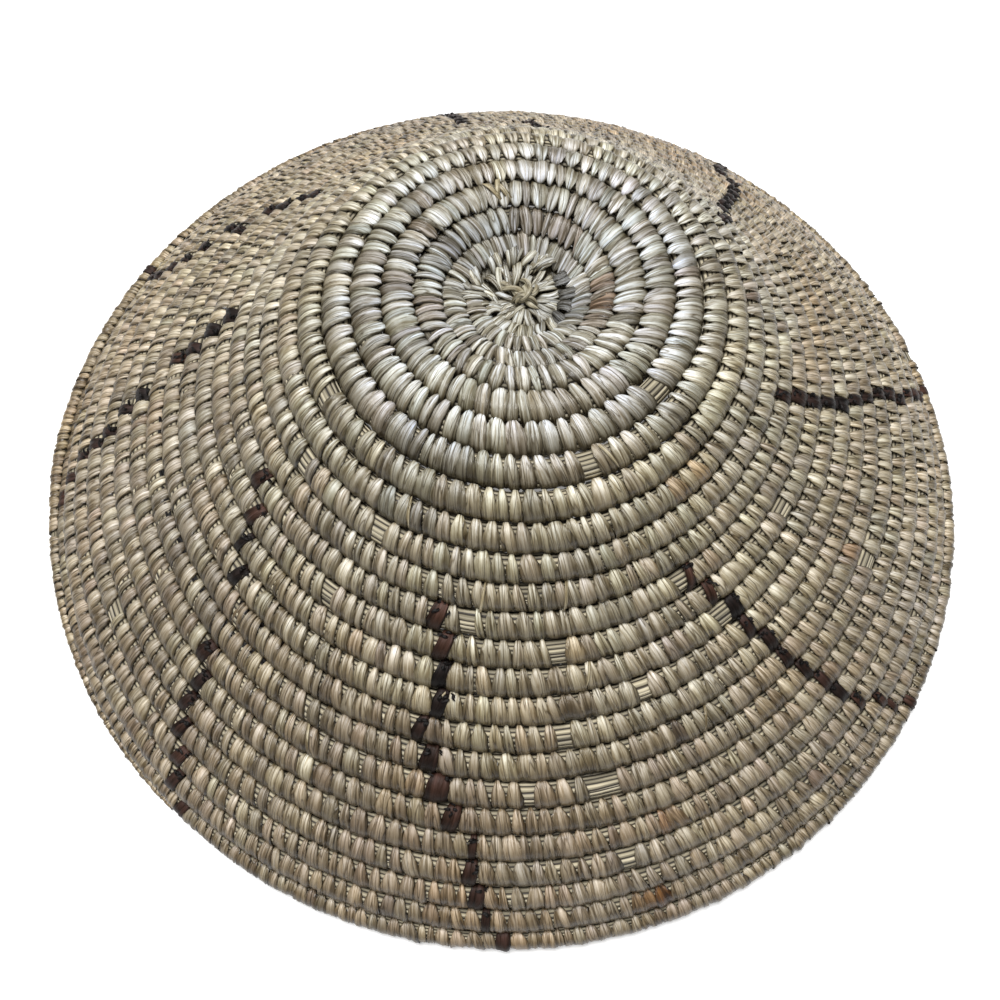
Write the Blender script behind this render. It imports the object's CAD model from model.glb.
"""Looks of the coiled basket: its coil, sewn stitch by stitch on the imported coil's own course."""
import math

import bpy
import numpy as np
from mathutils import Matrix, Vector


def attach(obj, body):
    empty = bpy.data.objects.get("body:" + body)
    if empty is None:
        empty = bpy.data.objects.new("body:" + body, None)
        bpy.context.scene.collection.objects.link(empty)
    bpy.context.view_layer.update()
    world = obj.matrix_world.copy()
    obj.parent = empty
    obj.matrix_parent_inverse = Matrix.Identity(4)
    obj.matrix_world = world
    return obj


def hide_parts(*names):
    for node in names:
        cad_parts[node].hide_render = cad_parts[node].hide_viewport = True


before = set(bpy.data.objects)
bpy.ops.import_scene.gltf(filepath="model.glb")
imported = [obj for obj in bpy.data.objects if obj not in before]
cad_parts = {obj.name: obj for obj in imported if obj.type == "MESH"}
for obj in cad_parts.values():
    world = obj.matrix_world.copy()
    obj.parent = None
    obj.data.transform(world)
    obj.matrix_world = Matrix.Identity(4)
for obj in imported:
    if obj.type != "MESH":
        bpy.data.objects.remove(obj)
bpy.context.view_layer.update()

MM = 0.001
SEED = 23
UP = np.array((0.0, 0.0, 1.0))

# The coil's course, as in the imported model
COIL_PITCH = 8.0 * MM  # from one turn to the next
TURN_GAP = 0.8 * MM  # clear space between two turns
TURNS = 23.125
START_AZIMUTH = -90.0  # degrees from the front, towards the right
START_RADIUS = 16.7 * MM  # from the knot's middle
WALL_TURNS = (0.0, 2.0, 3.5, 5.0, 7.0, 9.0, 12.0, 16.0, 19.0, 22.0)
WALL_ANGLES = (-24.0, -35.0, -10.5, 7.5, 36.0, 45.5, 38.0, 36.0, 40.0, 49.0)  # fall of the wall there
BASE_SHIFT = (8.5 * MM, 21.5 * MM, 0.0)  # from the rim's middle
THINNING_TURNS = 1.875  # the coil thins over its last turns
END_PITCH = 5.1 * MM  # to this pitch
TIP_TURNS = 0.14  # and over the very last part of a turn
TIP_PITCH = 1.8 * MM  # to this one
LOOP_POINTS = 24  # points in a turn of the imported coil
RING_SIDES = 6  # of its section
REST_SHARE = 0.4  # height of the rim's middle, in thicknesses
STEPS = 120  # points in a turn here
BEHIND_END = 1.001  # steps kept clear at the coil's end
SHORTEST = 1e-12  # length that still has a direction

# The grass bundle inside the stitches
BUNDLE_SHARE = 0.92  # of the coil's radius
BUNDLE_SIDES = 24
BUNDLE_RISE = 0.8  # share of the rest that comes back under flat stitches
STRANDS = 15  # round the bundle
BUNDLE_COVER = 0.62 * MM  # least depth of the grass under the last rows
COVER_TURNS = (20.0, 22.0)
GRASS_TURNS = (0.0, 3.0, 5.0)
GRASS_TONE = (0.5, 0.6, 1.15)  # how pale it is there
FLOOR_CLEARANCE = 0.1 * MM  # nothing reaches lower than this

# Natural stitches: spacing along the coil in mm, by turn
SPACING_TURNS = (0.0, 1.0, 3.0, 5.0, 9.0, 12.0, 15.0, 23.0)
SPACING_MM = (2.6, 2.9, 3.8, 4.4, 4.3, 4.4, 4.6, 4.7)
SPACING_SPREAD = 0.17  # unevenness, and its limits
SPACING_LIMITS = (0.55, 1.6)
THIN_SPACING = 0.45  # share that doesn't shrink with the coil
FILL = 1.12  # width as a share of the spacing
WIDTH_SPREAD = 0.11
WIDTH_LIMITS = (0.7, 1.3)
BROAD_SHARE = 0.03  # share of broad stitches
BROAD_WIDTH = 1.5
MISSING_TURNS = (4.0, 6.0)  # none is missing before the first
MISSING_SHARE = (0.0, 0.005)
LEAN = 1.3  # of a stitch's upper end, in mm
LEAN_SPREAD = 0.6
# The left side's and the back's lie flat and slanted, and stay wide up to their ends
FLAT_SIDE = 0.06  # metres from the middle over which they set in
FLAT_LEFT = 0.4  # where that begins, as a share of it
FLAT_BACK = 0.6
FLAT_LEFT_TURNS = (3.0, 5.0, 16.0, 22.0)
FLAT_LEFT_SHARE = (0.0, 1.0, 1.0, 0.4)
FLAT_BACK_TURNS = (4.5, 6.0)
FLAT_LEAN = 2.2  # added, in mm
FLAT_PUFF = 0.4  # how much lower, blunter and narrower they are
FLAT_TAPER = 0.55
FLAT_WIDTH = 0.13
# The last rows' lie lower too, and close together
LAST_TURNS = (20.0, 22.2)
LAST_PUFF = (1.0, 0.35)
LAST_WIDTH = (1.0, 1.06)
BAND_EDGES = (0, 5, 9, 12, 15, 18, 21, 24)  # turns at which a new piece begins

# Across a strip: place as a share of its half width, height over the strip's edge in mm, and shade
ACROSS = np.array((-1.0, -0.88, -0.62, -0.32, 0.0, 0.32, 0.62, 0.84, 1.0))
ACROSS_HEIGHT = np.array((-0.45, -0.16, -0.05, 0.02, 0.06, 0.05, 0.02, -0.10, -0.80)) * MM
ACROSS_SHADE = np.array((0.22, 0.64, 0.96, 1.13, 1.22, 1.14, 0.93, 0.52, 0.02))
PALEST = 1.36  # limit of the shade
FULL_HALF = 2.0 * MM  # half width with that height, and the height's limits
RELIEF_LIMITS = (0.3, 1.2)
GRAIN = 0.04  # unevenness in mm
TILT_SPREAD = 0.16  # in mm at the edges
SIDE_SPREAD = 0.06  # sideways, as a share of the half width
CREASE_REACH = 0.7  # creases lie within this share of it
CREASE_CHANCE = 1.7  # for each mm of folds
CREASE_DEPTH = 0.3  # in mm
CREASE_DARK = 0.6  # share of the light lost
COLUMN_SPREAD = 0.09  # of the tone between lengthwise lines
POINT_SPREAD = 0.03  # and between points
FOLD_HEIGHT = 0.12  # in mm, where nothing else is given
LEAST_TONE = 0.01
FIBRE_ROOM = 900.0  # each strip's fibre begins anywhere within this

# Course of one stitch: degrees from the coil's crown, from the inner side over the top and under,
# height over the coil in mm, width as a share of the full one, and shade
COURSE = np.array((
    (-96, -0.4, 0.12, 0.3), (-76, 0.7, 0.24, 1.1), (-61, 1.34, 0.4, 1.75), (-50, 1.2, 0.57, 2.05),
    (-38, 0.98, 0.73, 1.95), (-22, 0.8, 0.89, 1.45), (-5, 0.68, 0.98, 0.98), (14, 0.6, 1.02, 0.66),
    (34, 0.54, 1.04, 0.45), (54, 0.46, 1.05, 0.3), (72, 0.32, 1.04, 0.17), (92, 0.15, 1, 0.1),
    (128, 0.45, 0.97, 0.8), (162, 0.5, 0.95, 1), (200, 0.5, 0.88, 1), (238, 0.4, 0.66, 0.85),
    (264, -0.4, 0.3, 0.3),
))
# The same over the base, where each one is a petal whose point reaches over the groove inside it
PETAL_COURSE = np.array((
    (-78, 0.4, 0.12, 0.5), (-64, 2.45, 0.24, 0.98), (-56, 2.7, 0.44, 1.3), (-47, 2.3, 0.69, 1.42),
    (-36, 1.74, 0.92, 1.42), (-22, 1.28, 1.04, 1.36), (-8, 1.0, 1.06, 1.24), (7, 0.86, 1.06, 1.12),
    (21, 0.78, 1.05, 0.96), (35, 0.74, 1.02, 0.76), (49, 0.66, 0.98, 0.48), (64, 0.4, 0.94, 0.24),
    (96, 0.1, 0.9, 0.24), (162, 0.5, 0.9, 1), (200, 0.5, 0.88, 1), (238, 0.4, 0.66, 0.85),
    (264, -0.4, 0.3, 0.3),
))
PETAL_TURNS = (2.6, 5.2)  # only petals before the first, none after the second
PETAL_FILL = 0.93  # width as a share of the other stitches'
PETAL_SWELL = 0.35  # how much rounder they are
FOLDS = (0.19, 0.10)  # height in mm of the folds there and beyond
LEAF_TURNS = (2.0, 3.4)  # the innermost are pointed at both ends
LEAF_CONTRAST = 2.6  # and darker at their edges
LEAF_SPREAD = 2.0  # and less even
LEAF_DEGREES = (7.0, 35.0, 64.0, 96.0)
LEAF_LOSS = (0.0, 0.14, 0.42, 0.2)  # share of the width lost to the point
RIM_TURNS = (22.4, 22.8)  # the rim's outer side grows paler
RIM_SHADE = (0.62, 1.0)
BARE_DEGREES = (30.0, 150.0)  # that side, from the crown
DEGREE_SPREAD = 2.0  # of a stitch's place round the coil
TIP_SPREAD = 5.0  # and of its tip's
TIP_ROWS = 2.0  # rows over which that fades
HEIGHT_SPREAD = 0.10  # in mm
ROW_SPREAD = 0.03  # of the width from row to row
SHARE_SPREAD = 0.06  # and from stitch to stitch
LEAST_SHARE = 0.08  # of the width
AHEAD = 0.004  # turns each way that give a direction
THIN_LIMIT = 0.3  # least height where the coil thins

# Places without stitches, where the grass shows: (row, first degrees, last degrees)
WINDOWS = (
    (3, 51, 53.5), (4, 43, 46), (5, 14, 16.4), (8, -57.3, -55.7),
    (8, -18.8, -17.2), (10, -13.9, -11.9), (11, 3.9, 5.4), (12, 33.2, 35),
    (13, 16.2, 17.8), (16, 8.2, 10.8), (16, -0.6, 0.6), (19, 10.8, 13.4),
)
# Stains: (first row, last row, first degrees, last degrees, colour name, strength)
STAINS = (
    (-0.3, 0.3, 62, 100, "slate", 0.5), (0.7, 1.3, 56, 98, "brown", 0.7),
    (0.7, 1.3, 138, 178, "brown", 0.45), (0.7, 1.3, -179, -158, "slate", 0.45),
    (0.7, 1.3, -150, -105, "slate", 0.4), (1.7, 2.3, -102, -72, "brown", 0.4),
    (2.6, 3.4, -32, 32, "tan", 0.08), (4.6, 7.4, -40, -18, "slate", 0.35),
    (4.7, 5.5, 45, 54, "slate", 0.4), (6.7, 7.5, 65, 74, "slate", 0.45),
    (4.7, 5.5, 92, 98, "brown", 0.55), (5.7, 6.4, 43, 47, "brown", 0.6),
    (6.7, 7.4, 33, 46, "tan", 0.6), (9.7, 10.3, 34.5, 37.5, "rust", 0.6),
    (10.7, 11.4, -80, -76, "brown", 0.6), (10.7, 11.4, 7, 10, "tan", 0.8),
    (11.7, 12.4, -71, -67, "brown", 0.6), (13.5, 22.9, -70, -10, "brown", 0.4),
    (14.5, 22.9, -10, 60, "brown", 0.25), (14.7, 15.3, 60.5, 62.5, "rust", 1),
    (17.7, 18.3, 16.2, 18.6, "rust", 1), (17.7, 18.3, 48.5, 50.5, "rust", 0.8),
    (20.7, 21.3, 12, 17, "rust", 0.9),
)
# Loose strips over the stitches: row, degrees and degrees from the crown at each end, width in mm, and shade
LOOSE_STRIPS = (
    (9, -9.2, -80, 10, -10.4, -40, 0.9, 1.15),
    (9, 7.4, -84, 9, 5.6, 60, 0.9, 1.15),
    (13, -13, -70, 13, -14.6, -25, 0.6, 1.25),
    (5, 20, -60, 5, 23, 40, 1, 1),
    (7, -30, -70, 7, -27.5, 30, 1, 1),
    (2, 180, -60, 2, 188, 30, 1.6, 1.1),
    (2, 190, -70, 3, 184, -30, 1.6, 1),
    (2, 194, 40, 2, 186, -50, 1.5, 1.2),
    (8, 22, -80, 8, 24, 10, 0.8, 1.1),
    (12, 10.5, -80, 12, 8.6, 20, 0.8, 1.2),
    (16, -33, -80, 16, -31, 10, 0.9, 1.1),
    (15, 27, -70, 15, 25, 20, 0.8, 1.2),
)
LOOSE_STEPS = 9
LOOSE_HEIGHT = (1.15, 0.35)  # in mm at the ends, and more in the middle
LOOSE_TIPS = (0.06, 0.88, 1.4)  # half wave of the width: start, length and height
LAID_PUFF = 0.6  # height of strips that lie on others
# A dark strip carried along under the stitches: row and degrees where it begins and ends
CARRIED = ((15, -97.0, -42.5), (14, -53.0, -41.5))
CARRIED_STEPS = 160
CARRIED_DEGREES = (-52.0, 6.0, 31.0)  # middle, sway, and radians of the sway
CARRIED_HEIGHT = (0.15, 0.3, 47.0, 1.0)  # the same in mm, and where it starts
CARRIED_HALF = 0.9 * MM

# The start knot: two rings of strips round its middle, strips that cross them, and twisted strands
KNOT_RINGS = (  # number, both ends in mm out from the first turn, width, lift and slant
    (56, -6.8, 1, 2.5, 2.2, 1),
    (46, -13, -4.4, 1.8, 1.7, 2),
)
RING_SPREAD = 0.09  # of their places in radians
RING_SLANT = (0.15, 0.12)  # radians and spread, times the ring's own
RING_ENDS = (0.6, 0.8)  # unevenness in mm of inner and outer ends
RING_WIDTH_SPREAD = 0.35  # in mm
RING_LIFT_SPREAD = 0.2
RING_LEAST = 1.6 * MM  # least radius of an end
KNOT_SLATE = (44.0, 128.0)  # grey part of the outer ring, in degrees
KNOT_CROSSINGS = (  # azimuth and radius in mm of each end, width, lift
    (-138, 11, -128, 3, 2.2, 1.9), (-112, 9.6, -92, 1.5, 2.2, 2), (-84, 12, -70, 3.4, 2.2, 1.7),
    (158, 10, 150, 2.4, 2.2, 2), (-60, 8, -20, 2, 1.6, 1.9), (-35, 6.4, 40, 2, 1.5, 2),
    (88, 2.4, 84, 9.6, 2.8, 2), (36, 2, 48, 11.8, 3.4, 1.9), (-108, 10.5, -104, 19, 2, 2.4),
    (-101, 9.6, -97, 20.4, 2.1, 2.8), (-95, 11, -91.5, 19.4, 1.9, 3),
    (-88, 9, -85.5, 18, 2.2, 2.9),
)
KNOT_STEPS = 11  # points along each
KNOT_BOW = 0.6  # sideways, in mm
KNOT_DIP = 0.6 * MM  # of their ends
KNOT_WIDTHS = ((0.0, 0.2, 0.5, 0.8, 1.0), (0.35, 0.8, 1.0, 0.95, 0.55))  # share of the width along a strip
KNOT_SHADES = ((0.0, 0.15, 0.5, 0.85, 1.0), (0.3, 0.85, 1.1, 0.8, 0.3))
KNOT_GREY = (0.3, 1.0)  # share of grey
KNOT_TONE = (0.98, 0.10)  # paleness and its spread
SLATE_SPREAD = 0.12
KNOT_PUFF = 0.9
KNOT_FOLDS = 0.15  # in mm
KNOT_CONTRAST = 2.2
KNOT_DEPTH = 4.2 * MM  # from the upper side's strips to the lower side's
KNOT_RISE = 2.6 * MM  # of the ground in the middle
GROUND_DEPTH = 0.9 * MM  # of what shows between the strips
GROUND_SIDES = 60
GROUND_REACH = (0.02, 1.12, 9)  # inner and outer edge, and number of rings
GROUND_LIMIT = 1.2  # share of the reach where it levels out
GROUND_SHADE = 0.35
CORDS = (  # x, y and z in mm from the knot's middle, at three places of each twisted cord
    ((-6.6, 6, 1.2), (-1.2, 1.4, 3.6), (4.4, -3.2, 1.6)),
    ((0.4, 8.2, 1), (1.2, 2.4, 3.4), (-2.4, -1.2, 2.2)),
    ((4.8, 4.4, 1.2), (1.4, 0.4, 4.2), (-3.6, 0.2, 1.4)),
)
CORD_RADIUS = 0.85 * MM  # of a strand
CORD_LIFT = 2.8 * MM  # over the knot's lowest point
CORD_STEPS = 33
CORD_SIDES = 12
CORD_TWIST = 9.0  # radians in all
CORD_START = 6.0  # most at the beginning
CORD_THINNING = 0.8  # of the ends
CORD_CLOSENESS = 0.95  # of the two strands, in radii
CORD_FIBRE = (0.4, 12.0)  # from side to side, and in the whole length
CORD_SPREAD = 0.08

DARK_PUFF = 1.05  # height, as a share of the natural ones'
DARK_TAPER = 0.4  # how far they narrow, as a share of the natural ones'
# Thin bits of dyed strip in the groove at each dark stitch
CURLS = 4
CURL_STEPS = 8
CURL_SIDE = 0.4  # they begin within this share of the width
CURL_REACH = 2.0  # most that they run on, in mm
CURL_WAVE = (6.0, 0.4 * MM)  # radians and height
CURL_DEGREES = (-58.0, -34.0)  # from the crown
CURL_FALL = (-14.0, 22.0)  # degrees that they run down
CURL_HEIGHT = (1.4, 0.8)  # in mm at the ends, and more in the middle
CURL_BOW = (0.2, 1.0)  # share of that
CURL_HALF = (0.3, 0.55)  # in mm
CURL_TIPS = (0.12, 0.8)  # half wave of the width: start and length
CURL_SHADE = (0.7, 1.4)
# Dark stitches of each line: rows, degrees from the front to the right, widths in mm, leans of the
# top in mm, and shades from black 0 to brown 1, where one value stands for the whole line
DARK_STITCHES = {
    "front": (
        range(10, 23),
        (-17.7, -15.6, -14.8, -14.5, -16.7, -14.4, -12.7, -10.4, -7.2, -7.3, -6.2, -5, -3),
        (5, 5.2, 4.6, 4.4, 4.2, 5.6, 7.2, 5.4, 2.6, 5, 5.2, 2.6, 5),
        (2.2, 2.4, 2.2, 2.6, 2.4, 1, 0.8, 2.6, 0.6, 1.2, 1.2, 0.5, 0.6),
        (0.9, 0.7, 0.05, 0.1, 0.3, 0.4, 0.6, 0.7, 0.5, 0.5, 0.4, 0.4, 0.5),
    ),
    "front_right": (
        range(10, 23),
        (31.2, 33.8, 37.2, 37.7, 40, 41, 42.8, 44.5, 45.8, 47.7, 50.7, 52.1, 54.5),
        (3.2, 3.8, 4.4, 3.6, 3.4, 3.6, 3.4, 3.4, 3.6, 3.2, 3.4, 2.8, 3.6),
        (2.6, 1.8, 0.8, 0.6, 0.4, 0.2, 0.2, 0.2, 0.2, 0.2, 0, 0, 0),
        (0.8, 0.8, 0.05, 0.4, 0.2, 0.4, 0.3, 0.5, 0.1, 0.7, 0.6, 0.6, 0.7),
    ),
    "right": (
        range(9, 23),
        (73.7, 76.8, 78.6, 81, 82.9, 85.5, 87.6, 90, 91.2, 91.6, 93.8, 95, 95.9, 97.5),
        (3.4, 4.8, 4.4, 4.6, 6, 4.2, 4.4, 4.2, 4.4, 4.4, 3, 4.6, 4.6, 4.2),
        (0.4, 0.2, 0, 0, 0, 0, 0, 0, 0, 0, 0, 0, 0, 0),
        (0.5, 0.4, 0.2, 0.1, 0.05, 0.2, 0.3, 0.3, 0.3, 0.4, 0.9, 0.5, 0.6, 0.8),
    ),
    "back_right": (
        range(8, 23),
        (118.5, 120.5, 125, 127, 128.5, 130, 131.5, 133, 135, 138.5, 140, 140.5, 141, 141.5, 142),
        (3.6, 4.2, 4.6, 4.6, 4.4, 4.6, 4.6, 4.4, 4.6, 4.6, 4.4, 4.4, 4.4, 4.4, 4.2),
        0,
        (0.4, 0.3, 0.2, 0.2, 0.2, 0.2, 0.3, 0.3, 0.3, 0.3, 0.3, 0.4, 0.4, 0.4, 0.5),
    ),
    "back_upper": (
        range(10, 14),
        (168.5, 170, 171, 172),
        (3.6, 3.6, 4, 3.6),
        0,
        (0.6, 0.6, 0.5, 0.6),
    ),
    "back_lower": (
        range(14, 23),
        (184.5, 184.5, 184.5, 184.5, 184.5, 184.5, 184.5, 184.8, 185),
        (4, 4.2, 4.2, 4.2, 4, 4.2, 4.2, 4, 4),
        0,
        (0.4, 0.4, 0.3, 0.4, 0.4, 0.4, 0.4, 0.4, 0.5),
    ),
    "back_left": (
        range(10, 23),
        (222.5, 223, 225, 226, 231, 230, 234, 236, 237, 238, 237, 236.5, 235),
        (4.2, 4.2, 4.6, 4.6, 4.6, 4.2, 4.6, 4.6, 4.4, 4.4, 4.4, 4.2, 4.2),
        0,
        (0.3, 0.2, 0.2, 0.3, 0.3, 0.2, 0.3, 0.2, 0.3, 0.3, 0.4, 0.4, 0.5),
    ),
    "left": (
        (11, 12, 13, 14, 16, 17, 18, 19, 20, 21, 22),
        (-103.8, -102.4, -100.2, -99.8, -96, -95, -92.7, -92.2, -91.7, -90, -88.3),
        (5.4, 5.4, 4.6, 4.2, 5.2, 4.6, 4.4, 4.4, 4.4, 4.6, 5.8),
        (0.8, 0.8, 0.8, 0.6, 0.6, 0.6, 0.6, 0.4, 0.4, 0.4, 0.4),
        (0.2, 0.1, 0.3, 0.8, 0.1, 0.3, 0.4, 0.3, 0.4, 0.5, 0.9),
    ),
    "front_left_upper": (
        range(10, 14),
        (-63.4, -59.3, -57.6, -54.6),
        (4.2, 4.2, 2.8, 4.6),
        (1.6, 1.4, 1.4, 1.6),
        (0.6, 0.8, 0.1, 0.1),
    ),
    "front_left_lower": (
        range(16, 23),
        (-51.6, -49.7, -49.5, -48.4, -46.7, -45.9, -43.6),
        (5, 4.6, 4.2, 4.6, 4.8, 4.2, 4.8),
        (1.4, 1.2, 1.2, 1.2, 1.2, 1, 1),
        (0.4, 0.2, 0.3, 0.5, 0.6, 0.4, 0.5),
    ),
}

# Camera: place and turn, from fitting the coil's turns to the photograph
CAMERA_ELEVATION = 69.16  # degrees
CAMERA_DISTANCE = 0.3666
CAMERA_ROLL = -3.15
AIM_FROM_RIM = (-11.49 * MM, -17.04 * MM)
CAMERA_LENS = 36.0  # in mm, like the sensor's width
CAMERA_SENSOR = 36.0
CAMERA_SHIFT = (0.03086, 0.01488)
CAMERA_NEAREST = 0.01  # in metres

# Soft light from above and a little behind, as in the photograph
LIGHT_FROM = (-0.16, 0.28, 1.0)
LIGHT_ANGLE = 34.0  # degrees across
LIGHT_STRENGTH = 3.3
SKY_STRENGTH = 0.30
WHITE = (1.0, 1.0, 1.0, 1.0)
FLOOR_SIZE = 6.0  # metres
FLOOR_COLOUR = (0.93, 0.93, 0.93, 1.0)
FLOOR_ROUGHNESS = 0.9
FLOOR_GLOW = 0.25  # light from below, so the shadow is faint


def srgb(red, green, blue):
    """Linear colour from values of 0 to 255."""
    value = np.array((red, green, blue)) / 255.0
    return np.where(value <= 0.04045, value / 12.92, ((value + 0.055) / 1.055) ** 2.4)


PALE = srgb(189, 180, 150)
GREY = srgb(170, 167, 154)
TAN = srgb(168, 142, 104)
BROWN = srgb(112, 90, 68)
SLATE = srgb(104, 104, 101)
RUST = srgb(138, 106, 72)
STAIN_COLOURS = {"slate": SLATE, "brown": BROWN, "tan": TAN, "rust": RUST}
BLACK_STRIP = srgb(17, 11, 9)
BROWN_STRIP = srgb(67, 44, 33)
GRASS = PALE * 0.5 + GREY * 0.3 + TAN * 0.2
CORD_COLOUR = PALE * 0.6 + GREY * 0.5
LOOSE_COLOUR = PALE * 0.8 + TAN * 0.2
WARMER_DARKS = np.array((0.95, 1.05, 1.3))  # powers of the tone in red, green and blue

# How the natural stitches' colour changes over the basket
BASE_TURNS = (4.5, 6.0)  # the base ends between these
BASE_PALER = np.array((0.29, 0.36, 0.54))  # how much paler the base is
WALL_DIM_TURNS = (5.0, 8.0, 14.0, 22.4, 22.8)
WALL_DIM = (1.0, 0.81, 0.79, 0.76, 0.92)  # how pale the wall is there
GREY_PATCHES = ((0.16, 0.6), (0.06, 0.5), (0.025, 0.35))  # waves: length in metres and weight
TAN_PATCHES = ((0.09, 0.6), (0.03, 0.5))
WAVES = 3  # waves of each length
GREY_SHARES = (0.35, 0.45, 0.40)  # everywhere, in patches, over the base
TAN_SHARES = (0.05, 0.2, 0.5)  # everywhere, at the back, in patches
TAN_TURNS = (5.0, 10.0, 16.0, 23.0)
TAN_OUTWARDS = (0.0, 0.2, 0.32, 0.42)  # added at those turns
PATCH_TURNS = 8.0  # over which the tan patches grow
PATCH_LEAST = 0.3
BACK_DEGREES = (70.0, 60.0)  # where the back begins, and degrees until it is full
BACK_TURNS = (7.0, 4.0)  # the same in turns
ODD_SHARE = 0.03  # share of brown stitches
ODD_STRENGTH = (0.2, 0.7)
STAIN_ROWS = 0.5  # over which a stain fades
STAIN_EDGE = 2.0  # degrees over which it does
STAIN_SPREAD = 0.35  # unevenness, and its limit
STAIN_MOST = 1.5
STITCH_SPREAD = 0.13  # of the paleness
HUE_SPREAD = 0.014  # and of the hue

# Fibre: streaks and their darkest, the creases' darkest, roughness, gloss and relief
STRAW_FIBRE = {"across": 2.0, "along": 0.12, "streak": 0.52, "crease": 0.32,
               "roughness": 0.32, "gloss": 0.6, "relief": 1.0}
DYED_FIBRE = {"across": 1.6, "along": 0.12, "streak": 0.6, "crease": 0.6,
              "roughness": 0.48, "gloss": 0.2, "relief": 0.8}
RELIEF_DEPTH = 0.5 * MM  # of bumps
WARM_DARK = np.array((1.0, 0.88, 0.68))  # hue of streaks and creases
STREAK_LEVELS = (0.36, 0.58)  # noise at the darkest and the palest
CLOUD_LEVELS = (0.3, 0.7, 0.84, 1.12)  # noise from and to, tone from and to
CREASE_WIDTH = 0.03  # on each side of the noise's middle
CREASE_RELIEF = 0.8  # how much of their dark is depth
ROUGHNESS_SPREAD = 0.12
# The grass strands
STRAND_LEVELS = (0.08, 0.36)  # wave at the darkest and the palest
STRAND_DARK = (0.06, 0.045, 0.03)  # of the lines between them
STRAND_TONES = (0.35, 0.65, 0.55, 1.25)  # like the clouds
STRAND_STRETCH = 0.05  # of the noise along them
STRAND_ROUGHNESS = 0.55


def blend(first, second, share):
    """Mix of two values or colours."""
    return first * (1.0 - share) + second * share


class Coil:
    """Course of the coil at fine steps: middle, radius and directions of its section."""

    def __init__(self):
        count = round(TURNS * STEPS) + 1
        self.count = count
        place = np.arange(count)
        turns = place / STEPS
        stations = (TURNS - THINNING_TURNS, TURNS - TIP_TURNS, TURNS)
        self.pitch = np.interp(turns, stations, (COIL_PITCH, END_PITCH, TIP_PITCH))
        azimuth = np.radians(START_AZIMUTH + 360.0 * turns)
        self.outward = np.stack((np.sin(azimuth), -np.cos(azimuth), np.zeros(count)), axis=1)
        self.lay(turns)
        other = np.where(place + STEPS < count, place + STEPS, place)
        inner = np.maximum(place - STEPS, place % STEPS)
        across = self.middle[other] - self.middle[inner]
        lean = np.arctan2(-across[:, 2], np.sum(across * self.outward, axis=1))[:, None]
        self.along = self.outward * np.cos(lean) - UP * np.sin(lean)
        self.crown = self.outward * np.sin(lean) + UP * np.cos(lean)
        self.radius = self.room()
        self.centre_outline()

    def lay(self, turns):
        """Each turn is laid against the one inside it, until the last one lies level."""
        count = self.count
        rest = REST_SHARE * (self.pitch - TURN_GAP) / math.cos(math.pi / RING_SIDES)
        level_from = count - 1 - STEPS
        first = math.radians(WALL_ANGLES[0])
        radii = START_RADIUS + COIL_PITCH * math.cos(first) * turns
        heights = -COIL_PITCH * math.sin(first) * turns
        slope = np.sin(np.radians(np.interp(turns, WALL_TURNS, WALL_ANGLES)))
        for index in range(STEPS, count):
            inner = index - STEPS
            spacing = (self.pitch[index] + self.pitch[inner]) / 2
            drop = spacing * slope[index]
            if index > level_from:
                drop = heights[inner] - heights[level_from] - rest[index] + rest[level_from]
            radii[index] = radii[inner] + math.sqrt(spacing * spacing - drop * drop)
            heights[index] = heights[inner] - drop
        heights += rest[level_from] - heights[level_from]
        share = np.maximum(0.0, 1.0 - np.arange(count) / level_from)[:, None]
        self.middle = self.outward * radii[:, None] + np.array(BASE_SHIFT) * share
        self.middle[:, 2] += heights

    def room(self):
        """Radius that the neighbouring turns leave."""
        gap = np.linalg.norm(self.middle[STEPS:] - self.middle[:-STEPS], axis=1)
        share = self.pitch[STEPS:] / (self.pitch[STEPS:] + self.pitch[:-STEPS])
        radius = np.full(self.count, np.inf)
        radius[STEPS:] = gap * share
        radius[:-STEPS] = np.minimum(radius[:-STEPS], gap * (1.0 - share))
        return radius

    def centre_outline(self):
        """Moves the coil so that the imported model's box has its middle over the origin."""
        stride = STEPS // LOOP_POINTS
        middle = self.middle[::stride]
        reach = ((self.radius - TURN_GAP / 2) / math.cos(math.pi / RING_SIDES))[::stride, None]
        self.offset = ((middle - reach).min(axis=0) + (middle + reach).max(axis=0)) / 2
        self.offset[2] = 0.0
        self.middle = self.middle - self.offset

    def value(self, field, turn):
        """A field at any turns, straight between the coil's points."""
        place = np.clip(np.asarray(turn) * STEPS, 0.0, self.count - BEHIND_END)
        index = place.astype(int)
        rest = place - index
        data = getattr(self, field)
        if data.ndim > 1:
            rest = rest[..., None]
        return blend(data[index], data[index + 1], rest)

    def speed(self, turn):
        """Length of coil in a whole turn, at one place."""
        index = int(min(max(turn * STEPS, 0), self.count - 2))
        return float(np.linalg.norm(self.middle[index + 1] - self.middle[index])) * STEPS

    def surface(self, turn, degrees, height):
        """Points at a height over the coil, and the direction out of it."""
        angle = np.radians(degrees)[..., None]
        out = self.value("along", turn) * np.sin(angle) + self.value("crown", turn) * np.cos(angle)
        radius = self.value("radius", turn)
        return self.value("middle", turn) + out * (radius + height)[..., None], out


def unit(vectors):
    return vectors / np.maximum(np.linalg.norm(vectors, axis=-1, keepdims=True), SHORTEST)


def add_object(name, data):
    thing = bpy.data.objects.new(name, data)
    bpy.context.scene.collection.objects.link(thing)
    return thing


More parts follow.
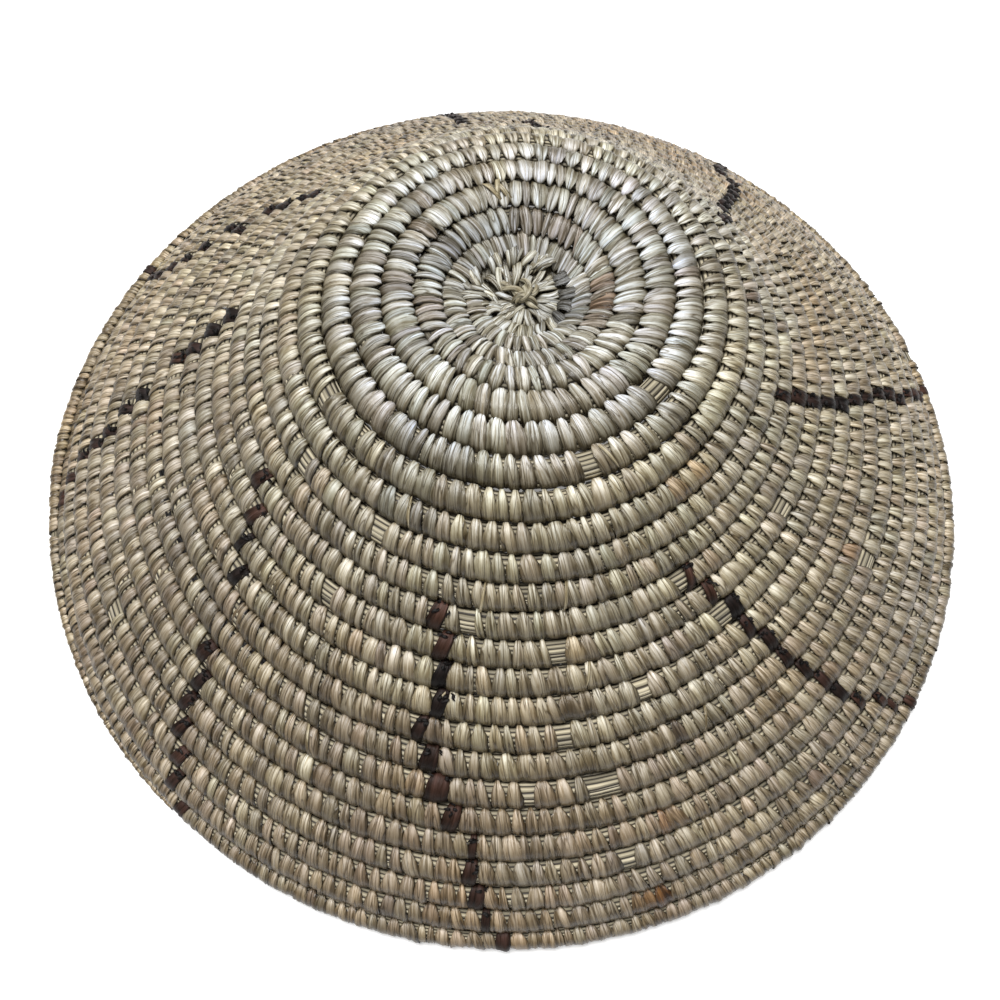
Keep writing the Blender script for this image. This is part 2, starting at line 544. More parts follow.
def mesh_from_grids(name, points, uv, colour, closed=False):
    """One object from many grids of points: points is (grids, rows, columns, 3)."""
    grids, rows, columns = points.shape[:3]
    number = np.arange(grids * rows * columns).reshape(grids, rows, columns)
    wrapped = np.concatenate((number, number[:, :, :1]), axis=2) if closed else number
    above, below = wrapped[:, :-1], wrapped[:, 1:]
    quads = np.stack((above[..., :-1], above[..., 1:], below[..., 1:], below[..., :-1]), axis=-1).reshape(-1)
    mesh = bpy.data.meshes.new(name)
    mesh.vertices.add(number.size)
    mesh.vertices.foreach_set("co", points.reshape(-1).astype(np.float32))
    mesh.loops.add(quads.size)
    mesh.loops.foreach_set("vertex_index", quads.astype(np.int32))
    mesh.polygons.add(quads.size // 4)
    mesh.polygons.foreach_set("loop_start", np.arange(0, quads.size, 4, dtype=np.int32))
    mesh.update(calc_edges=True)
    layer = mesh.uv_layers.new(name="strip")
    layer.data.foreach_set("uv", uv.reshape(-1, 2)[quads].reshape(-1).astype(np.float32))
    tone = mesh.color_attributes.new("tone", "FLOAT_COLOR", "POINT")
    shade = np.concatenate((colour, np.ones(colour.shape[:-1] + (1,))), axis=-1)
    tone.data.foreach_set("color", shade.reshape(-1).astype(np.float32))
    mesh.shade_smooth()
    return add_object(name, mesh)


def wander(place, rng, waves):
    """Smooth random value from about -1 to 1 over places in space, in metres."""
    total = np.zeros(place.shape[:-1])
    for length, weight in waves:
        for _ in range(WAVES):
            direction = unit(rng.normal(size=3)) * 2 * math.pi / length
            total += weight * np.sin(place @ direction + rng.uniform(0, 2 * math.pi)) / WAVES
    return total


def turn_of(row, azimuth):
    """Turns from the coil's start to a place in a row, by degrees from the front."""
    return row + (azimuth - START_AZIMUTH) / 360.0


def in_window(turn):
    return any(turn_of(row, low) < turn < turn_of(row, high) for row, low, high in WINDOWS)


def stitch_places(coil, rng, taken):
    """Where the natural stitches are, filling the coil between the dark ones: (turn, width) for each."""
    places = []
    borders = [(0.0, 0.0)] + sorted(taken) + [(TURNS, 0.0)]
    for (start, start_half), (end, end_half) in zip(borders, borders[1:]):
        low, high = start + start_half, end - end_half
        cells = []
        turn = low
        while turn < high:
            share = THIN_SPACING + (1.0 - THIN_SPACING) * (coil.value("pitch", turn) / COIL_PITCH)
            spacing = np.interp(turn, SPACING_TURNS, SPACING_MM) * MM * share
            uneven = np.clip(rng.normal(1.0, SPACING_SPREAD), *SPACING_LIMITS)
            cells.append(spacing * uneven / coil.speed(turn))
            turn += cells[-1]
        cells = np.array(cells) * (high - low) / sum(cells)
        middles = low + np.cumsum(cells) - cells / 2
        for middle, cell in zip(middles, cells):
            broad = BROAD_WIDTH if rng.random() < BROAD_SHARE else 1.0
            uneven = np.clip(rng.normal(1.0, WIDTH_SPREAD), *WIDTH_LIMITS)
            width = cell * coil.speed(middle) * FILL * broad * uneven
            missing = np.interp(middle, MISSING_TURNS, MISSING_SHARE)
            if not in_window(middle) and rng.random() > missing:
                places.append((middle, width))
    return np.array(places)


def strip_mesh(name, spine, out, ahead, half, shade, colours, rng, puff, folded=FOLD_HEIGHT, contrast=1.0):
    """Strips along given spines, with folds and dark creases along them.

    puff is how high they are, folded the folds' height in mm, and contrast how dark their edges are.
    """
    count, rows = half.shape
    columns = len(ACROSS)
    run = unit(np.gradient(spine, axis=1))
    side = unit(ahead - run * np.sum(ahead * run, axis=-1, keepdims=True))
    face = unit(np.cross(run, side))
    face *= np.where(np.sum(face * out, axis=-1, keepdims=True) < 0, -1.0, 1.0)
    folds = rng.normal(0, folded, (count, 1, columns)) + rng.normal(0, GRAIN, (count, rows, columns))
    tilt = rng.normal(0, TILT_SPREAD, (count, 1, 1)) * ACROSS
    inside = np.abs(ACROSS) < CREASE_REACH
    crease = (rng.random((count, 1, columns)) < folded * CREASE_CHANCE) * inside
    broad = np.clip(half[:, :, None] / FULL_HALF, *RELIEF_LIMITS)
    relief = (ACROSS_HEIGHT / MM * puff + folds + tilt - crease * CREASE_DEPTH) * broad * MM
    sideways = ACROSS + rng.normal(0, SIDE_SPREAD, (count, 1, columns))
    points = spine[:, :, None, :] + side[:, :, None, :] * (half[:, :, None] * sideways)[..., None]
    points = points + face[:, :, None, :] * relief[..., None]
    points[..., 2] = np.maximum(points[..., 2], FLOOR_CLEARANCE)
    uv = np.empty((count, rows, columns, 2))
    uv[..., 0] = half[:, :, None] / MM * ACROSS + rng.uniform(0, FIBRE_ROOM, (count, 1, 1))
    length = np.cumsum(np.linalg.norm(np.diff(spine, axis=1, prepend=spine[:, :1]), axis=-1), axis=1) / MM
    uv[..., 1] = length[:, :, None] + rng.uniform(0, FIBRE_ROOM, (count, 1, 1))
    tone = shade[:, :, None] * np.minimum(ACROSS_SHADE ** contrast, PALEST) * (1 - CREASE_DARK * crease)
    tone = tone * rng.normal(1.0, COLUMN_SPREAD, (count, 1, columns))
    tone = tone * rng.normal(1.0, POINT_SPREAD, (count, rows, columns))
    # Darker fibre is also browner
    tone = np.maximum(tone, LEAST_TONE)[..., None] ** WARMER_DARKS
    return mesh_from_grids(name, points, uv, colours[:, None, None, :] * tone)


def wrap_strips(coil, name, places, widths, leans, colours, rng, puff, taper):
    """Strips that wrap the coil: each comes out of the groove inside it, goes over and under, and back in."""
    count, rows = len(places), len(COURSE)
    puff, taper = puff[:, None], taper[:, None]
    petal = np.interp(places, PETAL_TURNS, (1.0, 0.0))[:, None, None]
    course = blend(COURSE, PETAL_COURSE, petal)
    leaf = np.interp(places, LEAF_TURNS, (1.0, 0.0))[:, None]
    tip = np.exp(-np.arange(rows) / TIP_ROWS)[None, :] * (1.0 + leaf)
    degrees = course[..., 0] + rng.normal(0, DEGREE_SPREAD, (count, 1))
    degrees = degrees + rng.normal(0, TIP_SPREAD, (count, 1)) * tip
    speed = np.array([coil.speed(turn) for turn in places])
    # The lean moves a strip's ends along the coil, and the underside brings it back
    along_share = np.cos(np.radians(degrees + 90.0)) * 0.5
    turn = places[:, None] + leans[:, None] * along_share / speed[:, None]
    thin = np.interp(coil.value("pitch", places), (THIN_LIMIT * COIL_PITCH, COIL_PITCH), (THIN_LIMIT, 1.0))
    height = (course[..., 1] * puff + rng.normal(0, HEIGHT_SPREAD, (count, 1))) * thin[:, None] * MM
    spine, out = coil.surface(turn, degrees, height)
    ahead = unit(coil.value("middle", turn + AHEAD) - coil.value("middle", turn - AHEAD))
    share = 1.0 - (1.0 - course[..., 2]) * taper
    share = share + rng.normal(0, ROW_SPREAD, (count, rows)) + rng.normal(0, SHARE_SPREAD, (count, 1))
    share = share * (1.0 - leaf * np.interp(degrees, LEAF_DEGREES, LEAF_LOSS))
    half = widths[:, None] / 2 * np.maximum(share, LEAST_SHARE)
    folded = np.interp(places, PETAL_TURNS, FOLDS)[:, None, None]
    # Nothing lies over the last turn's outer side, so that isn't darkened
    bare = (places > TURNS - 1.0)[:, None] * (degrees > BARE_DEGREES[0]) * (degrees < BARE_DEGREES[1])
    light = np.interp(places, RIM_TURNS, RIM_SHADE)[:, None]
    shade = np.where(bare, np.maximum(course[..., 3], light), course[..., 3])
    swell = puff[..., None] * (1.0 + PETAL_SWELL * petal)
    contrast = 1.0 + (LEAF_CONTRAST - 1.0) * leaf[..., None]
    return strip_mesh(name, spine, out, ahead, half, shade, colours, rng, swell, folded, contrast)


def lay_strips(coil, name, turn, degrees, height, half, colours, rng):
    """Narrow strips that lie on the coil along any course: turn and degrees are (strips, points)."""
    spine, out = coil.surface(turn, degrees, height)
    ahead = np.cross(out, unit(np.gradient(spine, axis=1)))
    return strip_mesh(name, spine, out, ahead, half, np.ones(half.shape), colours, rng, LAID_PUFF)


def hand_over(piece, material, replaced=None):
    """Gives a piece its material, slot and body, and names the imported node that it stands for."""
    piece.data.materials.append(material)
    if replaced:
        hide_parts(replaced)
    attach(piece, "root")


class Knot:
    """The start knot's ground: it meets the coil's first turn all round, and swells in the middle."""

    def __init__(self, coil):
        self.heart = np.array(BASE_SHIFT) - coil.offset
        self.places = np.arange(STEPS + 1)
        index = self.places % STEPS
        ring = coil.middle[index] - coil.along[index] * coil.radius[index, None]
        self.heart[2] = ring[:, 2].min()
        self.reach = np.linalg.norm((ring - self.heart)[:, :2], axis=1)
        self.rise = ring[:, 2] - self.heart[2]

    def edge(self, azimuth):
        """Distance to the first turn, and its height over the knot's middle, at azimuths in radians."""
        index = (np.degrees(azimuth) - START_AZIMUTH) % 360.0 / 360.0 * STEPS
        return np.interp(index, self.places, self.reach), np.interp(index, self.places, self.rise)

    def ground(self, spots):
        """Height of the ground at (x, y) spots."""
        away = spots - self.heart[:2]
        reach, rise = self.edge(np.arctan2(away[..., 0], -away[..., 1]))
        share = np.clip(np.linalg.norm(away, axis=-1) / reach, 0.0, GROUND_LIMIT) ** 2
        return self.heart[2] + KNOT_RISE + rise * share


def spot_at(knot, azimuth, radius):
    return np.stack((np.sin(azimuth) * radius, -np.cos(azimuth) * radius), axis=-1) + knot.heart[:2]


def knot_courses(knot, rng):
    """Both ends of each flat strip in the knot, with its width and lift."""
    first, last, widths, lifts = [], [], [], []
    inner, outer = RING_ENDS
    for number, low, high, width, lift, slant in KNOT_RINGS:
        azimuth = np.linspace(0, 2 * math.pi, number, endpoint=False) + rng.normal(0, RING_SPREAD, number)
        reach, _ = knot.edge(azimuth)
        far = reach + high * MM
        near = np.maximum(reach + low * MM, RING_LEAST) + rng.uniform(-inner, inner, number) * MM
        first.append(spot_at(knot, azimuth + rng.normal(*RING_SLANT, number) * slant, near))
        last.append(spot_at(knot, azimuth, far + rng.uniform(-outer, outer, number) * MM))
        widths.append(rng.normal(width, RING_WIDTH_SPREAD, number) * MM)
        lifts.append(rng.normal(lift, RING_LIFT_SPREAD, number) * MM)
    azimuths, radii, far_azimuths, far_radii, width, lift = np.array(KNOT_CROSSINGS).T
    first.append(spot_at(knot, np.radians(azimuths), radii * MM))
    last.append(spot_at(knot, np.radians(far_azimuths), far_radii * MM))
    widths.append(width * MM)
    lifts.append(lift * MM)
    return [np.concatenate(parts) for parts in (first, last, widths, lifts)]


def build_knot(coil, rng, material):
    """The start knot: rings of strips, others that cross them, twisted strands over them, and the ground."""
    knot = Knot(coil)
    first, last, widths, lifts = knot_courses(knot, rng)
    count = len(widths)
    share = np.linspace(0, 1, KNOT_STEPS)[None, :]
    bow = rng.normal(0, KNOT_BOW, (count, 1)) * MM * np.sin(np.pi * share)
    spots = blend(first[:, None, :], last[:, None, :], share[..., None])
    across = unit(last - first)[:, None, ::-1] * np.array((1.0, -1.0))
    spots = spots + across * bow[..., None]
    rise = lifts[:, None] * (1 - (2 * share - 1) ** 4) - KNOT_DIP * (2 * share - 1) ** 8
    spine = np.concatenate((spots, (knot.ground(spots) + rise)[..., None]), axis=-1)
    # The same strips show on the lower side, where they lie flatter
    lower = spine.copy()
    lower[..., 2] = knot.ground(spots) - KNOT_DEPTH - rise / 2
    out = np.broadcast_to(UP, spine.shape)
    ahead = np.cross(out, unit(np.gradient(spine, axis=1)))
    half = widths[:, None] / 2 * np.interp(share, *KNOT_WIDTHS)
    shade = np.broadcast_to(np.interp(share, *KNOT_SHADES), half.shape)
    grey = rng.uniform(*KNOT_GREY, (count, 1))
    colours = blend(PALE, GREY, grey) * (1.0 + BASE_PALER) * rng.normal(*KNOT_TONE, (count, 1))
    away = np.degrees(np.arctan2(*(last - knot.heart[:2]).T * np.array(((1.0,), (-1.0,)))))
    slate = (away > KNOT_SLATE[0]) & (away < KNOT_SLATE[1]) & (np.arange(count) < KNOT_RINGS[0][0])
    colours = np.where(slate[:, None], SLATE * rng.normal(1.0, SLATE_SPREAD, (count, 1)), colours)
    pieces = (
        strip_mesh("start_knot_strips", spine, out, ahead, half, shade, colours, rng,
                   KNOT_PUFF, KNOT_FOLDS, KNOT_CONTRAST),
        twisted_cords("start_knot_cords", knot, rng),
        strip_mesh("start_knot_lower_strips", lower, -out, ahead, half, shade, colours, rng, KNOT_PUFF),
        knot_ground("start_knot_ground", knot),
    )
    for piece in pieces:
        hand_over(piece, material, "start_knot")


def knot_ground(name, knot):
    """The surface that shows between the knot's strips."""
    azimuth = np.linspace(0, 2 * math.pi, GROUND_SIDES + 1)
    reach, _ = knot.edge(azimuth)
    spots = spot_at(knot, azimuth[None, :], np.linspace(*GROUND_REACH)[:, None] * reach[None, :])
    ground = np.concatenate((spots, (knot.ground(spots) - GROUND_DEPTH)[..., None]), axis=-1)
    uv = (spots - knot.heart[:2]) / MM
    colour = np.broadcast_to(PALE * GROUND_SHADE, ground.shape)
    return mesh_from_grids(name, ground[None], uv[None], colour[None])


def twisted_cords(name, knot, rng):
    """Short cords of two twisted strands each, over the knot's middle."""
    share = np.linspace(0, 1, CORD_STEPS)[:, None]
    ring = np.linspace(0, 2 * math.pi, CORD_SIDES, endpoint=False)[None, :, None]
    thick = CORD_RADIUS * (1 - (2 * share[:, :, None] - 1) ** 6 * CORD_THINNING)
    grids = []
    for low, middle, high in np.array(CORDS) * MM:
        course = low * (1 - share) ** 2 + (4 * middle - low - high) * share * (1 - share) + high * share ** 2
        course = course + np.append(knot.heart[:2], knot.heart[2] + CORD_LIFT)
        run = unit(np.gradient(course, axis=0))
        side = unit(np.cross(run, UP))
        over = np.cross(side, run)
        around = side[:, None] * np.cos(ring) + over[:, None] * np.sin(ring)
        twist = share * CORD_TWIST + rng.uniform(0, CORD_START)
        for half_turn in (0.0, math.pi):
            away = side * np.cos(twist + half_turn) + over * np.sin(twist + half_turn)
            grids.append(course[:, None] + away[:, None] * CORD_RADIUS * CORD_CLOSENESS + around * thick)
    points = np.array(grids)
    uv = np.empty(points.shape[:3] + (2,))
    uv[..., 0] = np.arange(CORD_SIDES) * CORD_FIBRE[0] + rng.uniform(0, FIBRE_ROOM, (len(points), 1, 1))
    uv[..., 1] = share[None, :, :] * CORD_FIBRE[1]
    colour = CORD_COLOUR * rng.normal(1.0, CORD_SPREAD, points.shape[:3] + (1,))
    return mesh_from_grids(name, points, uv, colour, closed=True)


def flatness(coil, turns):
    """How far the stitches are of the left and back sides' kind, which lie flat and slanted: 0 to 1."""
    place = coil.value("middle", turns)
    left = np.clip(-place[:, 0] / FLAT_SIDE - FLAT_LEFT, 0, 1)
    left = left * np.interp(turns, FLAT_LEFT_TURNS, FLAT_LEFT_SHARE)
    back = np.clip(place[:, 1] / FLAT_SIDE - FLAT_BACK, 0, 1) * np.interp(turns, FLAT_BACK_TURNS, (0.0, 1.0))
    return np.maximum(left, back)


def natural_colours(coil, turns, rng):
    """Straw colour of each stitch: greyer over the base, warmer towards the rim and the back, with stains."""
    count = len(turns)
    place = coil.value("middle", turns)
    azimuth = (START_AZIMUTH + 360.0 * turns + 180.0) % 360.0 - 180.0
    patch = wander(place, rng, GREY_PATCHES)
    base = np.interp(turns, BASE_TURNS, (1.0, 0.0))[:, None]
    everywhere, in_patches, over_base = GREY_SHARES
    grey = np.clip(everywhere + in_patches * patch[:, None] + over_base * base, 0, 1)
    back = np.clip((np.abs(azimuth) - BACK_DEGREES[0]) / BACK_DEGREES[1], 0, 1)
    back = back * np.clip((turns - BACK_TURNS[0]) / BACK_TURNS[1], 0, 1)
    outer = np.interp(turns, TAN_TURNS, TAN_OUTWARDS)
    patch = np.maximum(wander(place, rng, TAN_PATCHES), 0)
    everywhere, at_back, in_patches = TAN_SHARES
    grown = np.clip(turns / PATCH_TURNS, PATCH_LEAST, 1)
    tan = np.clip(everywhere + outer + at_back * back + in_patches * patch * grown, 0, 1)[:, None]
    colour = blend(blend(PALE, GREY, grey), TAN, tan)
    odd = (rng.random(count) < ODD_SHARE)[:, None] * rng.uniform(*ODD_STRENGTH, (count, 1))
    colour = blend(colour, BROWN, odd)
    row = np.floor(turns)
    for low, high, left, right, name, strength in STAINS:
        down = np.clip((row + STAIN_ROWS - low) / STAIN_ROWS, 0, 1)
        down = down * np.clip((high - row + STAIN_ROWS) / STAIN_ROWS, 0, 1)
        along = np.clip((azimuth - left) / STAIN_EDGE + 0.5, 0, 1)
        along = along * np.clip((right - azimuth) / STAIN_EDGE + 0.5, 0, 1)
        uneven = np.clip(rng.normal(1.0, STAIN_SPREAD, count), 0, STAIN_MOST)
        colour = blend(colour, STAIN_COLOURS[name], (down * along * strength * uneven)[:, None])
    colour = colour * (1.0 + base * BASE_PALER) * np.interp(turns, WALL_DIM_TURNS, WALL_DIM)[:, None]
    return colour * rng.normal(1.0, STITCH_SPREAD, (count, 1)) * rng.normal(1.0, HUE_SPREAD, (count, 3))


def build_bundle(coil, material):
    """The grass bundle inside the stitches, whose strands show between them."""
    turns = np.arange(coil.count) / STEPS
    angle = np.arange(BUNDLE_SIDES + 1) * 360.0 / BUNDLE_SIDES
    grid_turns = np.repeat(turns[:, None], BUNDLE_SIDES + 1, axis=1)
    flat = flatness(coil, turns)[:, None]
    height = coil.value("radius", grid_turns) * (BUNDLE_SHARE - 1.0) * (1.0 - BUNDLE_RISE * flat)
    height = np.minimum(height, -BUNDLE_COVER * np.interp(grid_turns, COVER_TURNS, (0.0, 1.0)))
    points, _ = coil.surface(grid_turns, np.broadcast_to(angle, grid_turns.shape), height)
    points[..., 2] = np.maximum(points[..., 2], FLOOR_CLEARANCE * 2)
    run = np.concatenate(((0.0,), np.cumsum(np.linalg.norm(np.diff(coil.middle, axis=0), axis=1)))) / MM
    uv = np.empty(points.shape[:2] + (2,))
    uv[..., 0] = angle[None, :] / 360.0 * STRANDS
    uv[..., 1] = run[:, None]
    depth = np.interp(turns, GRASS_TURNS, GRASS_TONE)[:, None, None]
    colour = np.broadcast_to(GRASS * depth, points.shape)
    bundle = mesh_from_grids("grass_bundle", points[None], uv[None], colour[None])
    hand_over(bundle, material, "foundation_coil")


def node(tree, kind, **inputs):
    made = tree.nodes.new(kind)
    for name, value in inputs.items():
        made.inputs[name].default_value = value
    return made


def noise(tree, place, **inputs):
    made = node(tree, "ShaderNodeTexNoise", **inputs)
    tree.links.new(place, made.inputs["Vector"])
    return made.outputs["Fac"]


def calculate(tree, operation, first, second=0.5):
    made = tree.nodes.new("ShaderNodeMath")
    made.operation = operation
    tree.links.new(first, made.inputs[0])
    made.inputs[1].default_value = second
    return made.outputs["Value"]


def multiply(tree, first, second, share=1.0):
    """Two colours or values multiplied."""
    made = tree.nodes.new("ShaderNodeMix")
    made.data_type = "RGBA"
    made.blend_type = "MULTIPLY"
    made.inputs["Factor"].default_value = share
    tree.links.new(first, made.inputs["A"])
    tree.links.new(second, made.inputs["B"])
    return made.outputs["Result"]


def ramp(tree, value, low, high, dark):
    """Colour that rises from a dark one to white as the value goes from low to high."""
    made = tree.nodes.new("ShaderNodeValToRGB")
    first, last = made.color_ramp.elements
    first.position, last.position = low, high
    first.color = (*dark, 1.0)
    last.color = WHITE
    tree.links.new(value, made.inputs["Fac"])
    return made.outputs["Color"]


def map_range(tree, value, low, high, to_low, to_high):
    limits = {"From Min": low, "From Max": high, "To Min": to_low, "To Max": to_high}
    made = node(tree, "ShaderNodeMapRange", **limits)
    tree.links.new(value, made.inputs["Value"])
    return made.outputs["Result"]


def bump(tree, shader, height, strength):
    made = node(tree, "ShaderNodeBump", Strength=strength, Distance=RELIEF_DEPTH)
    tree.links.new(height, made.inputs["Height"])
    tree.links.new(made.outputs["Normal"], shader.inputs["Normal"])


def strip_material(name, across, along):
    """New material with its tree and shader, the pieces' tone, and places in the strip's own directions."""
    material = bpy.data.materials.new(name)
    material.use_nodes = True
    tree = material.node_tree
    uv = tree.nodes.new("ShaderNodeUVMap")
    uv.uv_map = "strip"
    tone = tree.nodes.new("ShaderNodeAttribute")
    tone.attribute_name = "tone"
    scaled = node(tree, "ShaderNodeMapping", Scale=(across, along, 1.0))
    tree.links.new(uv.outputs["UV"], scaled.inputs["Vector"])
    return material, tree, tree.nodes["Principled BSDF"], tone.outputs["Color"], scaled.outputs["Vector"]


def fibre_material(name, across, along, streak, crease, roughness, gloss, relief):
    """Split plant fibre: lengthwise streaks and dark creases in colour and relief."""
    material, tree, shader, tone, place = strip_material(name, across, along)
    fine = noise(tree, place, Scale=1.0, Detail=4.0, Roughness=0.6)
    wide = noise(tree, place, Scale=0.35, Detail=2.0)
    lines = noise(tree, place, Scale=0.30, Detail=1.0, Distortion=0.3)
    # Creases lie where the noise crosses its middle value
    off_middle = calculate(tree, "ABSOLUTE", calculate(tree, "SUBTRACT", lines, 0.5))
    creases = ramp(tree, off_middle, 0.0, CREASE_WIDTH, WARM_DARK * crease)
    streaks = ramp(tree, fine, *STREAK_LEVELS, WARM_DARK * streak)
    clouds = map_range(tree, wide, *CLOUD_LEVELS)
    colour = multiply(tree, multiply(tree, multiply(tree, tone, streaks), creases), clouds)
    tree.links.new(colour, shader.inputs["Base Color"])
    uneven = map_range(tree, fine, 0.0, 1.0, roughness - ROUGHNESS_SPREAD, roughness + ROUGHNESS_SPREAD)
    tree.links.new(uneven, shader.inputs["Roughness"])
    shader.inputs["Specular IOR Level"].default_value = gloss
    bump(tree, shader, multiply(tree, fine, creases, CREASE_RELIEF), relief)
    return material


def strand_material(name):
    """Grass strands side by side, with dark lines between them."""
    material, tree, shader, tone, place = strip_material(name, 1.0, STRAND_STRETCH)
    bands = node(tree, "ShaderNodeTexWave", Scale=0.314, Distortion=6.0, Detail=1.5, **{"Detail Scale": 0.8})
    tree.links.new(place, bands.inputs["Vector"])
    each = noise(tree, place, Scale=0.9, Detail=1.0)
    lines = ramp(tree, bands.outputs["Fac"], *STRAND_LEVELS, STRAND_DARK)
    colour = multiply(tree, multiply(tree, tone, lines), map_range(tree, each, *STRAND_TONES))
    tree.links.new(colour, shader.inputs["Base Color"])
    shader.inputs["Roughness"].default_value = STRAND_ROUGHNESS
    bump(tree, shader, bands.outputs["Fac"], 1.0)
    return material


def build_natural_stitches(coil, rng, taken, material):
    """The straw-coloured stitches, in bands of turns."""
    turns, widths = stitch_places(coil, rng, taken).T
    flat = flatness(coil, turns)
    thin = coil.value("pitch", turns) / COIL_PITCH
    spread = np.interp(turns, LEAF_TURNS, (LEAF_SPREAD, 1.0))
    leans = -(LEAN + rng.normal(0, LEAN_SPREAD, len(turns)) * spread + FLAT_LEAN * flat) * thin ** 2 * MM
    colours = natural_colours(coil, turns, rng)
    puff = (1.0 - FLAT_PUFF * flat) * np.interp(turns, LAST_TURNS, LAST_PUFF)
    taper = 1.0 - FLAT_TAPER * flat
    widths = widths * (1.0 - FLAT_WIDTH * flat) * np.interp(turns, LAST_TURNS, LAST_WIDTH)
    widths = widths * np.interp(turns, PETAL_TURNS, (PETAL_FILL, 1.0))
    for low, high in zip(BAND_EDGES, BAND_EDGES[1:]):
        some = (turns >= low) & (turns < high)
        name = "natural_stitches_turns_%d_to_%d" % (low, high)
        band = wrap_strips(coil, name, turns[some], widths[some], leans[some], colours[some], rng,
                           puff[some], taper[some])
        hand_over(band, material, "foundation_coil")


def dark_line(columns):
    """Turns, widths, leans and shades of the stitches in a dark line."""
    rows, azimuths, widths, leans, shades = np.broadcast_arrays(*columns)
    return turn_of(rows, azimuths), widths * MM, leans * MM, shades


def dark_places(coil):
    """(turn, half the width in turns) of each dark stitch, for the natural ones to leave room."""
    places = []
    for columns in DARK_STITCHES.values():
        turns, widths, _, _ = dark_line(columns)
        places += [(turn, width / 2 / coil.speed(turn)) for turn, width in zip(turns, widths)]
    return places


def build_dark_stitches(coil, rng, material):
    """The dyed strips of each line, with the small loops that they make in the grooves."""
    for line, columns in DARK_STITCHES.items():
        turns, widths, leans, shades = dark_line(columns)
        colours = blend(BLACK_STRIP, BROWN_STRIP, shades[:, None])
        puff, taper = np.full(len(turns), DARK_PUFF), np.full(len(turns), DARK_TAPER)
        strips = wrap_strips(coil, "dark_strips_" + line, turns, widths, leans, colours, rng, puff, taper)
        inner = turns < TURNS - THINNING_TURNS
        curls = dark_curls(coil, "dark_curls_" + line, turns[inner], widths[inner], leans[inner], rng)
        for piece in (strips, curls):
            hand_over(piece, material, "dark_stitches_" + line)


def dark_curls(coil, name, turns, widths, leans, rng):
    """Thin bits of the dyed strips in the groove at the upper end of each dark stitch."""
    shape = (len(turns) * CURLS, 1)
    stitches = (turns, [coil.speed(turn) for turn in turns], leans, widths)
    places, speed, lean, width = (np.repeat(values, CURLS)[:, None] for values in stitches)
    steps = np.linspace(0, 1, CURL_STEPS)[None, :]
    middle = np.sin(np.pi * steps)
    shift = lean / 2 + rng.uniform(-CURL_SIDE, CURL_SIDE, shape) * width
    reach = rng.uniform(-CURL_REACH, CURL_REACH, shape) * MM
    wave, wave_height = CURL_WAVE
    turn = places + (shift + reach * steps + np.sin(steps * wave) * wave_height) / speed
    degrees = rng.uniform(*CURL_DEGREES, shape) + rng.uniform(*CURL_FALL, shape) * steps
    height = (CURL_HEIGHT[0] + CURL_HEIGHT[1] * middle * rng.uniform(*CURL_BOW, shape)) * MM
    half = rng.uniform(*CURL_HALF, shape) * MM * np.sin(np.pi * (CURL_TIPS[0] + CURL_TIPS[1] * steps))
    colours = BLACK_STRIP * rng.uniform(*CURL_SHADE, shape)
    return lay_strips(coil, name, turn, degrees, height, half, colours, rng)


def build_carried_strips(coil, rng, material):
    """The dark strip that runs on under the natural stitches, and shows between them."""
    steps = np.linspace(0, 1, CARRIED_STEPS)[None, :]
    ends = np.array([(turn_of(row, low), turn_of(row, high)) for row, low, high in CARRIED])
    turn = blend(ends[:, :1], ends[:, 1:], steps)
    middle, sway, wave = CARRIED_DEGREES
    degrees = middle + sway * np.sin(steps * wave) + np.zeros(turn.shape)
    middle, sway, wave, start = CARRIED_HEIGHT
    height = (middle + sway * np.sin(steps * wave + start)) * MM + np.zeros(turn.shape)
    half = np.full(turn.shape, CARRIED_HALF)
    colours = np.broadcast_to(BLACK_STRIP, (len(CARRIED), 3))
    piece = lay_strips(coil, "carried_dark_strips", turn, degrees, height, half, colours, rng)
    hand_over(piece, material)


def build_loose_strips(coil, rng, material):
    """Thin strips that cross over the stitches here and there."""
    row, azimuth, upper, last_row, last_azimuth, lower, width, shade = np.array(LOOSE_STRIPS).T[..., None]
    steps = np.linspace(0, 1, LOOSE_STEPS)[None, :]
    # A strip that ends on the next row is laid on its own row, past the lower end of the stitches
    rows_on = last_row - row
    turn = blend(turn_of(row, azimuth), turn_of(last_row, last_azimuth) - rows_on, steps)
    degrees = blend(upper, lower + 180.0 * rows_on, steps)
    height = (LOOSE_HEIGHT[0] + LOOSE_HEIGHT[1] * np.sin(np.pi * steps)) * MM + np.zeros(turn.shape)
    start, part, wider = LOOSE_TIPS
    half = width / 2 * MM * np.clip(np.sin(np.pi * (start + part * steps)) * wider, 0, 1)
    piece = lay_strips(coil, "loose_strips", turn, degrees, height, half, LOOSE_COLOUR * shade, rng)
    hand_over(piece, material)


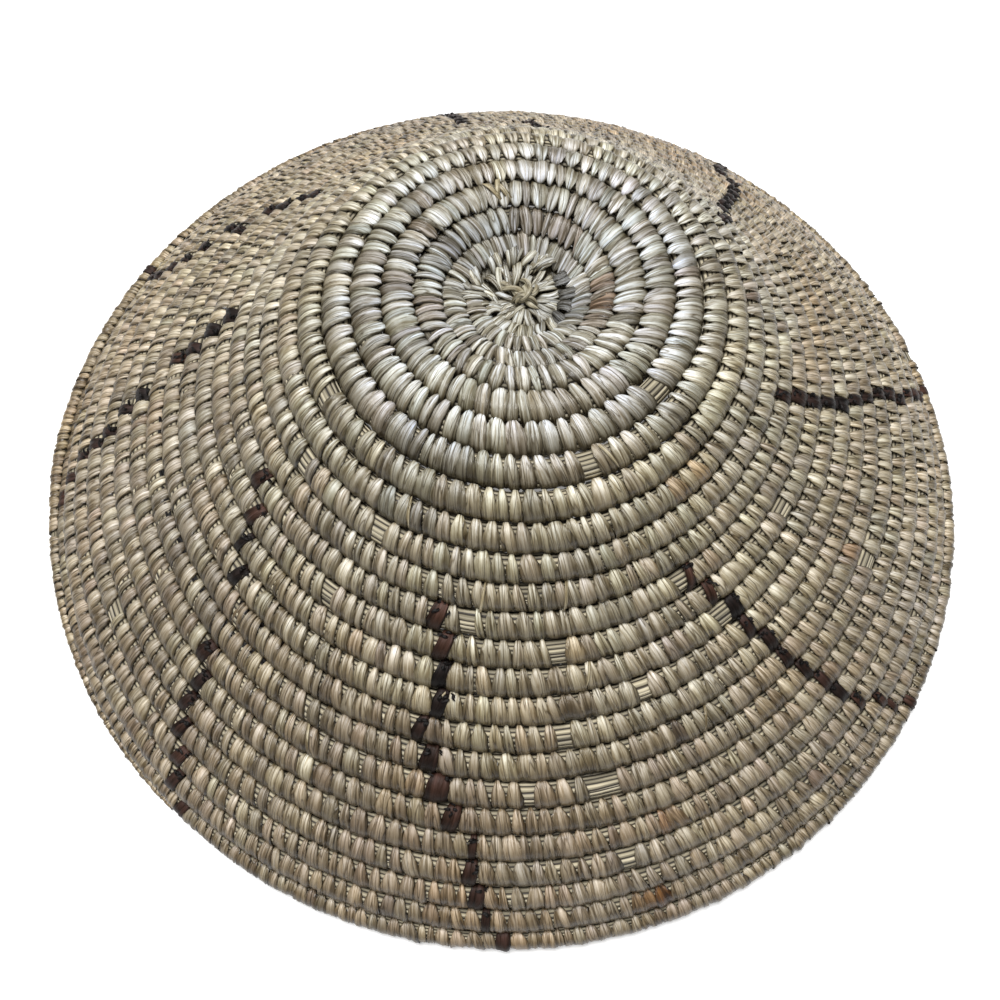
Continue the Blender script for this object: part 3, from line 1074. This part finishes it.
def place_camera(coil):
    """The camera of the photograph, from the fit: it aims at a point on the rim's level."""
    elevation = math.radians(CAMERA_ELEVATION)
    ahead = Vector((0.0, math.cos(elevation), -math.sin(elevation)))
    up = Vector((0.0, math.sin(elevation), math.cos(elevation)))
    right = Vector((1.0, 0.0, 0.0))
    roll = math.radians(CAMERA_ROLL)
    turned_right = right * math.cos(roll) + up * math.sin(roll)
    turned_up = up * math.cos(roll) - right * math.sin(roll)
    aim = Vector((AIM_FROM_RIM[0] - coil.offset[0], AIM_FROM_RIM[1] - coil.offset[1], 0.0))
    data = bpy.data.cameras.new("photo_camera")
    data.lens = CAMERA_LENS
    data.sensor_width = CAMERA_SENSOR
    data.shift_x, data.shift_y = CAMERA_SHIFT
    data.clip_start = CAMERA_NEAREST
    camera = add_object("photo_camera", data)
    rotation = Matrix((turned_right, turned_up, -ahead)).transposed()
    camera.matrix_world = Matrix.Translation(aim - ahead * CAMERA_DISTANCE) @ rotation.to_4x4()
    bpy.context.scene.camera = camera


def build_stage():
    """Plain pale floor, one soft sun, and even light from all round."""
    bpy.ops.mesh.primitive_plane_add(size=FLOOR_SIZE, location=(0.0, 0.0, 0.0))
    floor = bpy.context.object
    floor.name = "floor"
    material = bpy.data.materials.new("pale_floor")
    material.use_nodes = True
    shader = material.node_tree.nodes["Principled BSDF"]
    shader.inputs["Base Color"].default_value = FLOOR_COLOUR
    shader.inputs["Roughness"].default_value = FLOOR_ROUGHNESS
    shader.inputs["Emission Color"].default_value = WHITE
    shader.inputs["Emission Strength"].default_value = FLOOR_GLOW
    floor.data.materials.append(material)
    world = bpy.data.worlds.new("soft_light")
    world.use_nodes = True
    background = world.node_tree.nodes["Background"]
    background.inputs["Color"].default_value = WHITE
    background.inputs["Strength"].default_value = SKY_STRENGTH
    bpy.context.scene.world = world
    bpy.context.scene.view_settings.view_transform = "Standard"
    data = bpy.data.lights.new("window", "SUN")
    data.angle = math.radians(LIGHT_ANGLE)
    data.energy = LIGHT_STRENGTH
    sun = add_object("window", data)
    sun.rotation_euler = (-Vector(LIGHT_FROM)).to_track_quat("-Z", "Y").to_euler()


coil = Coil()
rng = np.random.default_rng(SEED)
straw = fibre_material("split_straw", **STRAW_FIBRE)
dyed = fibre_material("dyed_strip", **DYED_FIBRE)

build_natural_stitches(coil, rng, dark_places(coil), straw)
build_dark_stitches(coil, rng, dyed)
build_carried_strips(coil, rng, dyed)
build_loose_strips(coil, rng, straw)
build_knot(coil, rng, straw)
build_bundle(coil, strand_material("grass_strands"))
build_stage()
place_camera(coil)

bpy.context.view_layer.update()
